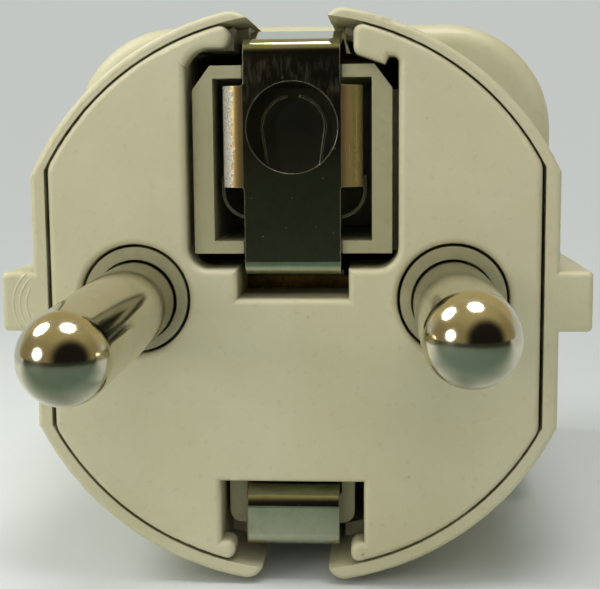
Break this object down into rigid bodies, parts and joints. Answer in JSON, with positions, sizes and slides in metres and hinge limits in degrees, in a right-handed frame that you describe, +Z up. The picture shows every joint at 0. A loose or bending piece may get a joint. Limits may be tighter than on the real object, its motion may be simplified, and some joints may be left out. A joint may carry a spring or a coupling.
{
  "type": "plug adapter",
  "caption": "Travel plug adapter: round earthed two-pin plug with guide ribs in front, rounded-square head with a multi-standard socket behind.",
  "frame": {"origin": "midway between the two pins, on the plane of the plug's face", "axes": "+X to the right as one faces the pins, +Y from the face into the body, +Z up towards the earth hole"},
  "size_m": [0.0354, 0.0605, 0.0354],
  "materials": {
    "ivory_plastic": "satin moulded plastic, warm ivory",
    "grey_plastic": "satin moulded plastic, greyer than the case",
    "nickel": "bright nickel plate on brass",
    "nickel_sheet": "nickelled sheet with rolling marks",
    "brass": "plain brass strip",
    "bronze": "spring bronze leaf",
    "steel": "zinc-plated steel",
    "fibre_board": "dark insulating board"
  },
  "bodies": {
    "root": {"outer_shell": "ivory_plastic", "face_insert": "ivory_plastic", "socket_cover": "ivory_plastic", "contact_carrier": "grey_plastic", "line_pin": "nickel", "neutral_pin": "nickel", "upper_earth_strip": "nickel_sheet", "lower_earth_strip": "nickel_sheet", "earth_cradle": "nickel_sheet", "earth_clamp": "nickel_sheet", "earth_bridge": "brass", "earth_link": "brass", "socket_earth_clip": "bronze", "line_contact": "brass", "neutral_contact": "brass", "line_spring": "bronze", "neutral_spring": "bronze", "insulating_plate": "fibre_board", "case_screws": "steel", "contact_rivets": "brass"}
  },
  "joints": []
}
